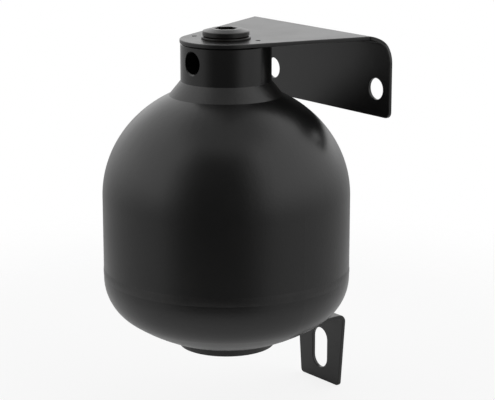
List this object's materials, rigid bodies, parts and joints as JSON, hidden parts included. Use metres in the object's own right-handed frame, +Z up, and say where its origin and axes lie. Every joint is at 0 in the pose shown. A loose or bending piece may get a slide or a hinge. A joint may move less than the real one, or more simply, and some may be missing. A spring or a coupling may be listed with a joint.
{
  "type": "pressure accumulator",
  "caption": "Welded diaphragm pressure accumulator: domed can with a side oil port and top plug in the neck, gas filler below, folded bolt-on bracket above and slotted tab bracket below.",
  "frame": {"origin": "midway between the two bolt holes of the upper bracket, on the face that lies against the wall", "axes": "+Y into the wall, +Z up along the vessel, +X along the bolt line"},
  "size_m": [0.1212, 0.1231, 0.1899],
  "materials": {
    "black_paint": "semi-gloss black paint",
    "plug_steel": "dark coated steel, satin",
    "inner_steel": "turned, bare",
    "diaphragm_rubber": "matt moulded",
    "seal_rubber": "smooth"
  },
  "bodies": {
    "vessel": {"upper_shell": "black_paint", "lower_shell": "black_paint", "seam_weld": "black_paint", "port_boss": "black_paint", "neck_weld": "black_paint", "upper_bracket": "black_paint", "plug_washer": "plug_steel", "top_plug": "plug_steel", "plug_seal": "seal_rubber", "filler_boss": "black_paint", "filler_screw": "plug_steel", "filler_seal": "seal_rubber", "lower_bracket": "black_paint", "lower_bracket_weld": "black_paint", "support_ring": "inner_steel", "clamp_ring": "inner_steel", "diaphragm": "diaphragm_rubber"},
    "button": {"closing_button": "inner_steel"}
  },
  "joints": [
    {"name": "button_slide", "type": "slide", "parent": "vessel", "child": "button", "axis": [0, 0, -1], "range_m": [0, 0.07], "stiffness_N_per_m": 50, "springref_m": -0.01, "deforming": ["diaphragm"]}
  ]
}
